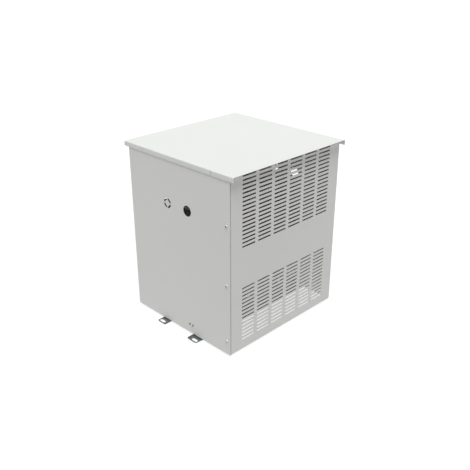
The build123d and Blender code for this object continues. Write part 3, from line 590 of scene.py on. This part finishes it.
grey_mould = moulding("grey_moulding", MOULD_GREY, MOULD_GREY_PALE)
blue_mould = moulding("blue_moulding", MOULD_BLUE, MOULD_BLUE_PALE)
stripe_mould = moulding("green_and_yellow_moulding", MOULD_GREEN, MOULD_YELLOW, EARTH_STRIPE)
for node in ("primary_terminals", "secondary_terminals", "rail_end_stops"):
    eased(node, grey_mould, MOULD_EDGE)
eased("neutral_terminal", blue_mould, MOULD_EDGE)
eased("earth_terminal", stripe_mould, MOULD_EDGE)

# Clamp screws, one at the foot of each driver hole: slotted zinc-plated heads.
# Each is pressed from a cylinder, with its rim eased and a slot cut across.
PHASE_WIDTH = 0.010
WIDE_WIDTH = 0.012
BLOCK_GAP = 0.0005
DRIVER_ACROSS = 0.017
DRIVER_DEPTH = 0.022
HEAD_RADIUS = 0.0027
HEAD_SIDES = 24
HEAD_HEIGHT = 0.0018
HEAD_RIM = HEAD_HEIGHT / 5
SLOT_WIDTH = 0.0008
SLOT_DEPTH = 0.0009
blocks = {
    "earth_terminal": (PHASE_WIDTH, 1),
    "primary_terminals": (PHASE_WIDTH, 3),
    "secondary_terminals": (WIDE_WIDTH, 3),
    "neutral_terminal": (WIDE_WIDTH, 1),
}
middles = []
for node, (width, count) in blocks.items():
    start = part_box(node)[0].y
    middles += [(start + width / 2 + step * (width + BLOCK_GAP), width) for step in range(count)]
terminal_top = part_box("primary_terminals")[1].z
driver_floor = terminal_top - DRIVER_DEPTH
deselect_all()
bpy.ops.mesh.primitive_cylinder_add(
    vertices=HEAD_SIDES, radius=HEAD_RADIUS, depth=HEAD_HEIGHT,
    location=(0, 0, driver_floor + HEAD_HEIGHT / 2),
)
head = bpy.context.object
bpy.ops.object.transform_apply(location=True, rotation=True, scale=True)
round_edges(head, HEAD_RIM)
deselect_all()
bpy.ops.mesh.primitive_cube_add(size=1, location=(0, 0, driver_floor + HEAD_HEIGHT))
cutter = bpy.context.object
cutter.scale = (4 * HEAD_RADIUS, SLOT_WIDTH, 2 * SLOT_DEPTH)
bpy.ops.object.transform_apply(location=True, rotation=True, scale=True)
apply_modifier(head, "BOOLEAN", operation="DIFFERENCE", object=cutter, solver="EXACT")
bpy.data.objects.remove(cutter)
heads = []
for middle, width in middles:
    for across in (-DRIVER_ACROSS, DRIVER_ACROSS):
        copy = bpy.data.objects.new("clamp_screw", head.data.copy())
        copy.location = (across, middle, 0)
        bpy.context.scene.collection.objects.link(copy)
        heads.append(copy)
bpy.data.objects.remove(head)
deselect_all()
for copy in heads:
    copy.select_set(True)
bpy.context.view_layer.objects.active = heads[0]
bpy.ops.object.join()
bpy.ops.object.transform_apply(location=True, rotation=True, scale=True)
bpy.ops.object.shade_smooth_by_angle(angle=FOLD_ANGLE)
fasten(heads[0], "terminal_clamp_screws", zinc)

# Marker tags: a plain white strip snapped on top of each terminal, with nothing printed on it.
# Thin matt polyamide with eased edges.
TAG_LENGTH = 0.009
TAG_HEIGHT = 0.0006
TAG_EDGE = TAG_HEIGHT / 4
TAG_MARGIN = 0.001
TAG_WHITE_DEEP = srgb(222, 222, 218)
TAG_WHITE = srgb(236, 236, 232)
tag_white = moulding("white_tag", TAG_WHITE_DEEP, TAG_WHITE)
for number, (middle, width) in enumerate(middles, start=1):
    deselect_all()
    bpy.ops.mesh.primitive_cube_add(size=1, location=(0, middle, terminal_top + TAG_HEIGHT / 2))
    tag = bpy.context.object
    tag.scale = (TAG_LENGTH, width - 2 * TAG_MARGIN, TAG_HEIGHT)
    bpy.ops.object.transform_apply(location=True, rotation=True, scale=True)
    ease_edges(tag, TAG_EDGE)
    fasten(tag, f"marker_tag_{number}", tag_white)

# Leads: stranded copper in silicone rubber, black for the phases and blue for the neutral.
# Matt rubber with a fine bloom. The earth lead is green above and yellow below.
RUBBER_BLACK = srgb(30, 30, 31)
RUBBER_BLACK_PALE = srgb(46, 46, 47)
RUBBER_BLUE = srgb(34, 52, 92)
RUBBER_BLUE_PALE = srgb(46, 66, 108)
RUBBER_YELLOW = srgb(214, 190, 56)
RUBBER_GREEN = srgb(66, 128, 54)
lead_low, lead_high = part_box("earth_lead")
lead_level = (lead_low.z + lead_high.z) / 2


def lead_rubber(name, first, second, level=None):
    """Silicone rubber, in two near shades or with its second colour above a level."""
    finish = new_finish(name)
    bloom = finish.noise(grains=260, detail=3)
    share = finish.across("Z") > level if level else bloom
    finish.surface(
        base_color=finish.blend(share, first, second),
        roughness=finish.noise(grains=180).spread(0.45, 0.65),
        normal=finish.bump(finish.noise(grains=1600, detail=1), rise=0.00002),
    )
    return finish


black_rubber = lead_rubber("black_lead_rubber", RUBBER_BLACK, RUBBER_BLACK_PALE)
blue_rubber = lead_rubber("blue_lead_rubber", RUBBER_BLUE, RUBBER_BLUE_PALE)
stripe_rubber = lead_rubber("green_and_yellow_lead_rubber", RUBBER_YELLOW, RUBBER_GREEN, lead_level)
coat(black_rubber, "primary_leads", "secondary_leads")
coat(blue_rubber, "neutral_lead")
coat(stripe_rubber, "earth_lead")

# Shrink sleeves, which seal each lead where it leaves its winding: black tube shrunk on by heat.
# The rims are rolled and the wall is a little uneven.
SLEEVE_LENGTH = 0.02
SLEEVE_WALL = 0.0007
SLEEVE_SIDES = 32
SLEEVE_RIM = 0.6 * SLEEVE_WALL
SLEEVE_DARK = srgb(26, 26, 28)
SLEEVE_PALE = srgb(44, 44, 46)
TAIL_SHIFT = -0.020
PRIMARY_TAIL_DEPTH = 0.009
PRIMARY_LEAD_RADIUS = 0.003
SECONDARY_TAIL_DEPTH = 0.0088
SECONDARY_LEAD_RADIUS = 0.004
sleeve_tube = new_finish("shrink_sleeve")
sleeve_ripple = sleeve_tube.noise(grains=220, stretch=(1, 1, 0.4))
sleeve_tube.surface(
    base_color=sleeve_tube.blend(sleeve_ripple, SLEEVE_DARK, SLEEVE_PALE),
    roughness=sleeve_ripple.spread(0.4, 0.6),
    normal=sleeve_tube.bump(sleeve_ripple, rise=0.0001),
)
tails = {
    "primary": (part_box("primary_winding_1")[0].x + PRIMARY_TAIL_DEPTH, PRIMARY_LEAD_RADIUS),
    "secondary": (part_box("secondary_winding_1")[1].x - SECONDARY_TAIL_DEPTH, SECONDARY_LEAD_RADIUS),
}
for kind, (tail_x, lead_radius) in tails.items():
    for phase in (1, 2, 3):
        low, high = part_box(f"{kind}_winding_{phase}")
        deselect_all()
        bpy.ops.mesh.primitive_cylinder_add(
            vertices=SLEEVE_SIDES, radius=lead_radius + SLEEVE_WALL, depth=SLEEVE_LENGTH,
            location=(tail_x, (low.y + high.y) / 2 + TAIL_SHIFT, high.z + SLEEVE_LENGTH / 2),
        )
        sleeve = bpy.context.object
        bpy.ops.object.transform_apply(location=True, rotation=True, scale=True)
        ease_edges(sleeve, SLEEVE_RIM)
        fasten(sleeve, f"{kind}_lead_sleeve_{phase}", sleeve_tube)

# Earth lugs: plated barrels crimped on both ends of the earth lead, at the bar and at the rail.
# Each has a waist where the crimping tool closed it.
BARREL_LENGTH = 0.008
BARREL_RADIUS = 0.0032
BARREL_SIDES = 32
BARREL_EDGE = BARREL_RADIUS / 10
CRIMP_WAIST = 0.85
CRIMP_REACH = BARREL_LENGTH / 5
earth_radius = (lead_high.z - lead_low.z) / 2
bar_end = Vector((lead_low.x + earth_radius, lead_low.y + BARREL_LENGTH / 2, lead_level))
rail_end = Vector((lead_high.x - BARREL_LENGTH / 2, lead_high.y - earth_radius, lead_level))
for name, place, turn in (("bar", bar_end, (pi / 2, 0, 0)), ("rail", rail_end, (0, pi / 2, 0))):
    deselect_all()
    bpy.ops.mesh.primitive_cylinder_add(vertices=BARREL_SIDES, radius=BARREL_RADIUS, depth=BARREL_LENGTH)
    barrel = bpy.context.object
    bpy.ops.object.mode_set(mode="EDIT")
    for level in (-CRIMP_REACH, 0, CRIMP_REACH):
        bpy.ops.mesh.select_all(action="SELECT")
        bpy.ops.mesh.bisect(plane_co=(0, 0, level), plane_no=(0, 0, 1))
    bpy.ops.mesh.select_all(action="DESELECT")
    bpy.ops.object.mode_set(mode="OBJECT")
    for point in barrel.data.vertices:
        point.select = abs(point.co.z) < SAME_POINT
    bpy.ops.object.mode_set(mode="EDIT")
    bpy.ops.transform.resize(value=(CRIMP_WAIST, CRIMP_WAIST, 1), center_override=(0, 0, 0))
    bpy.ops.object.mode_set(mode="OBJECT")
    barrel.rotation_euler = turn
    barrel.location = place
    bpy.ops.object.transform_apply(location=True, rotation=True, scale=True)
    ease_edges(barrel, BARREL_EDGE)
    fasten(barrel, f"earth_lug_{name}", zinc)

# Enclosure: two L-shaped sheets of 1.5 mm steel, with two slot fields in each side. Light grey powder
# coat, satin, with a fine orange peel. The cut walls of the openings and slots carry painted shade,
# weakest in the lower slot field, and the joints at the two screwed corners carry a painted shadow line.
PAINT_GREY = srgb(238, 238, 236)
PAINT_GREY_DEEP = srgb(234, 234, 232)
SLOT_WALL_SHADE = srgb(120, 120, 119)
OPENING_WALL_SHADE = srgb(88, 88, 87)
PAINT_JOINT_SHADE = srgb(185, 185, 184)
SHEET = 0.0015
FIELD_HALF = 0.21
FIELD_LOW = 0.03
FIELD_TOP = 0.592
LOWER_FIELD_TOP = 0.25
LOWER_SLOT_SHADE_SHARE = 0.2
JOINT_WIDTH = 0.0032
OPENING_REACH = 0.075
OPENING_LOW = 0.42
OPENING_TOP = 0.465
wrap_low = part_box("front_left_wrap")[0]
side_x = -wrap_low.x
front_y = -wrap_low.y


def powder_coat(name, light, deep):
    """The enclosure's paint, and the colour that its masks change later."""
    finish = new_finish(name)
    drift = finish.noise(grains=3, detail=3)
    finish.surface(
        roughness=drift.spread(0.42, 0.5),
        normal=finish.bump(finish.noise(grains=420, detail=1), rise=0.00003),
    )
    return finish, finish.blend(drift, light, deep)


wrap_paint, wrap_colour = powder_coat("sheet_powder_coat", PAINT_GREY, PAINT_GREY_DEEP)
across_x = wrap_paint.across("X")
across_y = wrap_paint.across("Y")
up_z = wrap_paint.across("Z")
out_x = abs(across_x)
out_y = abs(across_y)
# Painted shade on the cut walls of the side slots, only a fifth as strong in the lower slot field.
slot_wall_shade = (out_x < side_x - SKIN) * (out_x > side_x - SHEET + SKIN) * (out_y < FIELD_HALF)
slot_wall_shade = slot_wall_shade * (up_z > FIELD_LOW) * (up_z < FIELD_TOP)
slot_wall_shade = slot_wall_shade * (up_z > LOWER_FIELD_TOP).spread(LOWER_SLOT_SHADE_SHARE, 1)
# Painted shade, darker still, on the cut walls of the openings in the front and back faces.
opening_wall_shade = (out_y < front_y - SKIN) * (out_y > front_y - SHEET + SKIN) * (out_x < OPENING_REACH)
opening_wall_shade = opening_wall_shade * (up_z > OPENING_LOW) * (up_z < OPENING_TOP)
# Painted shadow line along the joints at the two screwed corners.
joint_reach = JOINT_WIDTH + SHEET
front_joint_shade = (across_x > side_x - JOINT_WIDTH) * (across_y < joint_reach - front_y)
back_joint_shade = (across_x < JOINT_WIDTH - side_x) * (across_y > front_y - joint_reach)
joint_shade = (front_joint_shade + back_joint_shade) * (out_y < front_y - SHEET + SKIN)
with_slot_shade = wrap_paint.blend(slot_wall_shade, wrap_colour, SLOT_WALL_SHADE)
with_opening_shade = wrap_paint.blend(opening_wall_shade, with_slot_shade, OPENING_WALL_SHADE)
wrap_paint.surface(base_color=wrap_paint.blend(joint_shade, with_opening_shade, PAINT_JOINT_SHADE))
for node in ("front_left_wrap", "back_right_wrap"):
    eased(node, wrap_paint)

# Screws of the enclosure: pan heads painted with the sheets, three at each screwed corner. On all but
# the lowest pair a dark ring is coloured round the cross recess, and the recess itself carries painted
# shade. The two smaller screws, which hold the earth bar, are plated black.
SCREW_PITCH = 0.1946
PAN_RADIUS = 0.0045
RECESS_REACH = 0.0023
DARK_RING_REACH = 0.002
LOWEST_PAIR_TOP = 0.15
SCREW_GREY_DEEP = srgb(206, 207, 206)
SCREW_GREY = srgb(222, 223, 222)
SCREW_DARK_RING = srgb(84, 84, 85)
SCREW_RECESS_SHADE = srgb(28, 28, 29)
PLATE_DARK = srgb(84, 84, 85)
PLATE_PALE = srgb(110, 110, 111)
screw_low, screw_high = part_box("panel_screws")
head_face = -screw_low.y
screw_finish = new_finish("painted_screw")
from_axis = abs(abs(screw_finish.across("X")) - (screw_high.x - PAN_RADIUS))
from_middle = (screw_finish.across("Z") - (screw_low.z + PAN_RADIUS)).zigzag(SCREW_PITCH / 2)
reach_squared = from_axis * from_axis + from_middle * from_middle
higher_pairs = screw_finish.across("Z") > LOWEST_PAIR_TOP
sunk = abs(screw_finish.across("Y")) < head_face - SKIN
# Painted shade in the cross recess of all but the lowest pair.
recess_shade = (reach_squared < RECESS_REACH ** 2) * sunk * higher_pairs
# A dark ring round the cross recess, on all but the lowest pair.
dark_ring = (reach_squared < DARK_RING_REACH ** 2) * higher_pairs
screw_cloud = screw_finish.noise(grains=300, detail=3)
screw_paint = screw_finish.blend(screw_cloud, SCREW_GREY_DEEP, SCREW_GREY)
screw_colour = screw_finish.blend(dark_ring, screw_paint, SCREW_DARK_RING)
screw_finish.surface(
    base_color=screw_finish.blend(recess_shade, screw_colour, SCREW_RECESS_SHADE),
    roughness=screw_cloud.spread(0.4, 0.55),
    normal=screw_finish.bump(screw_cloud, rise=0.00002),
)
coat(screw_finish, "panel_screws")
black_plate = new_finish("black_screw_plate")
plate_cloud = black_plate.noise(grains=300, detail=3)
black_plate.surface(
    base_color=black_plate.blend(plate_cloud, PLATE_DARK, PLATE_PALE),
    metallic=0.3,
    roughness=plate_cloud.spread(0.4, 0.6),
    normal=black_plate.bump(plate_cloud, rise=0.00002),
)
coat(black_plate, "earth_bar_screws")

# Lid: one 1.5 mm sheet with its front and back edges folded down, over both L-shaped sheets.
# The same powder coat, with painted shade on its cut edges at the sides. Four studs welded under it take
# nuts beneath the sheets' top flanges.
STUD_PITCH = 0.0008
STUD_DULL = srgb(170, 160, 128)
STUD_BRIGHT = srgb(196, 186, 152)
LID_GREY = srgb(238, 240, 237)
LID_GREY_DEEP = srgb(235, 237, 234)
LID_EDGE_SHADE = srgb(162, 163, 161)
lid_paint, lid_colour = powder_coat("lid_powder_coat", LID_GREY, LID_GREY_DEEP)
# Painted shade: the lid's side cut edges are coloured darker, standing in for the shadow under the
# overhang.
lid_edge_shade = abs(lid_paint.across("X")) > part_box("lid")[1].x - SKIN
lid_paint.surface(base_color=lid_paint.blend(lid_edge_shade, lid_colour, LID_EDGE_SHADE))
eased("lid", lid_paint)
stud_zinc = plating("threaded_stud_zinc", STUD_DULL, STUD_BRIGHT, smoothest=0.3)
stud_zinc.surface(normal=stud_zinc.bump(stud_zinc.ridges("Z", STUD_PITCH), rise=0.0003))
coat(stud_zinc, "lid_studs")
